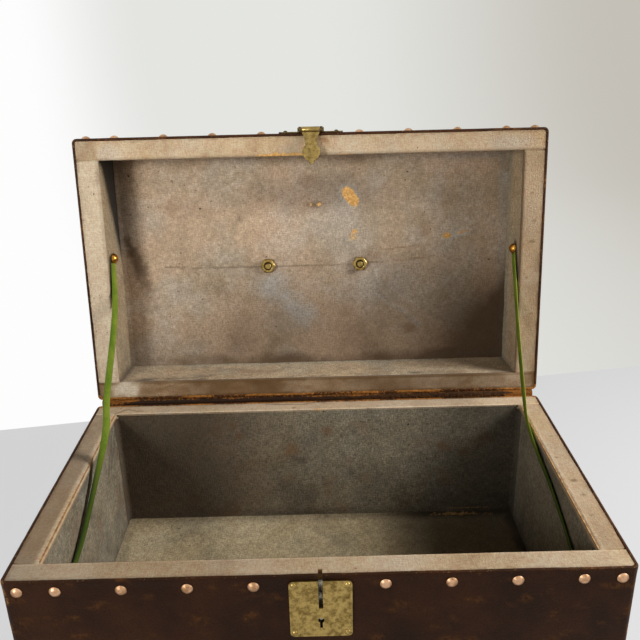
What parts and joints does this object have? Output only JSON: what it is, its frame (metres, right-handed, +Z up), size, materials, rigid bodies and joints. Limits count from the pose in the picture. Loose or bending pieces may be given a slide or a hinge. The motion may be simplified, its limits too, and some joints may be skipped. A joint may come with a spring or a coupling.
{
  "type": "leather document box",
  "caption": "Leather-covered wooden box for papers and keepsakes, with a linen-lined hinged lid, ribbon stays, brass studs, hasp and bail handle.",
  "frame": {"origin": "centre of the base's underside, on the surface it stands on", "axes": "+X to the right seen from the front, +Y to the back where the hinge is, +Z up"},
  "size_m": [0.4038, 0.3286, 0.3667],
  "materials": {
    "leather": "worn dark brown",
    "hinge_leather": "dry, tan where worn",
    "wood": "bare softwood",
    "rim_linen": "plain weave, aged",
    "lining_linen": "plain weave, stained",
    "ribbon": "woven green",
    "brass": "aged",
    "steel": "plain"
  },
  "bodies": {
    "base": {"base_back_board": "wood", "base_bottom_board": "wood", "base_bottom_leather": "leather", "base_floor_lining": "lining_linen", "base_front_board": "wood", "base_hinge_studs": "brass", "base_left_board": "wood", "base_ribbon_tacks": "brass", "base_right_board": "wood", "base_rim_cloth_back": "rim_linen", "base_rim_cloth_front": "rim_linen", "base_rim_cloth_left": "rim_linen", "base_rim_cloth_right": "rim_linen", "base_studs_back": "brass", "base_studs_front": "brass", "base_studs_left": "brass", "base_studs_right": "brass", "base_wall_leather": "leather", "base_wall_lining": "lining_linen", "hinge_leather_strip": "hinge_leather", "lock_case": "steel", "lock_plate": "brass", "lock_plate_nails": "brass", "ribbon_left": "ribbon", "ribbon_right": "ribbon"},
    "lid": {"handle_nuts": "brass", "handle_posts": "brass", "handle_roses": "brass", "hasp_plate": "brass", "hasp_plate_nails": "brass", "lid_back_board": "wood", "lid_ceiling_lining": "lining_linen", "lid_front_board": "wood", "lid_hinge_studs": "brass", "lid_left_board": "wood", "lid_ribbon_tacks": "brass", "lid_right_board": "wood", "lid_rim_cloth_back": "rim_linen", "lid_rim_cloth_front": "rim_linen", "lid_rim_cloth_left": "rim_linen", "lid_rim_cloth_right": "rim_linen", "lid_studs_front": "brass", "lid_studs_left": "brass", "lid_studs_right": "brass", "lid_studs_top": "brass", "lid_top_board": "wood", "lid_top_leather": "leather", "lid_wall_leather": "leather", "lid_wall_lining": "lining_linen"},
    "hasp": {"hasp_leaf": "brass", "hasp_pin": "steel", "hasp_staple": "brass"},
    "bail": {"handle_bail": "brass"},
    "lock_bolt": {"lock_bolt": "steel"}
  },
  "joints": [
    {"name": "lid_hinge", "type": "hinge", "parent": "base", "child": "lid", "pos_m": [0, 0.119, 0.1282], "axis": [-1, 0, 0], "range_deg": [-97.3, 0], "deforming": ["hinge_leather_strip", "ribbon_left", "ribbon_right"]},
    {"name": "hasp_hinge", "type": "hinge", "parent": "lid", "child": "hasp", "pos_m": [0.0005, 0.14743, 0.3643], "axis": [-1, 0, 0], "range_deg": [0, 70]},
    {"name": "bail_swing", "type": "hinge", "parent": "lid", "child": "bail", "pos_m": [0, 0.20433, 0.23321], "axis": [1, 0, 0], "range_deg": [-15.6, 181]},
    {"name": "bolt_slide", "type": "slide", "parent": "base", "child": "lock_bolt", "axis": [1, 0, 0], "range_m": [0, 0.005]}
  ],
  "couplings": [
    {"joint": "hasp_hinge", "follows": "lid_hinge", "ratio": -0.70894}
  ]
}
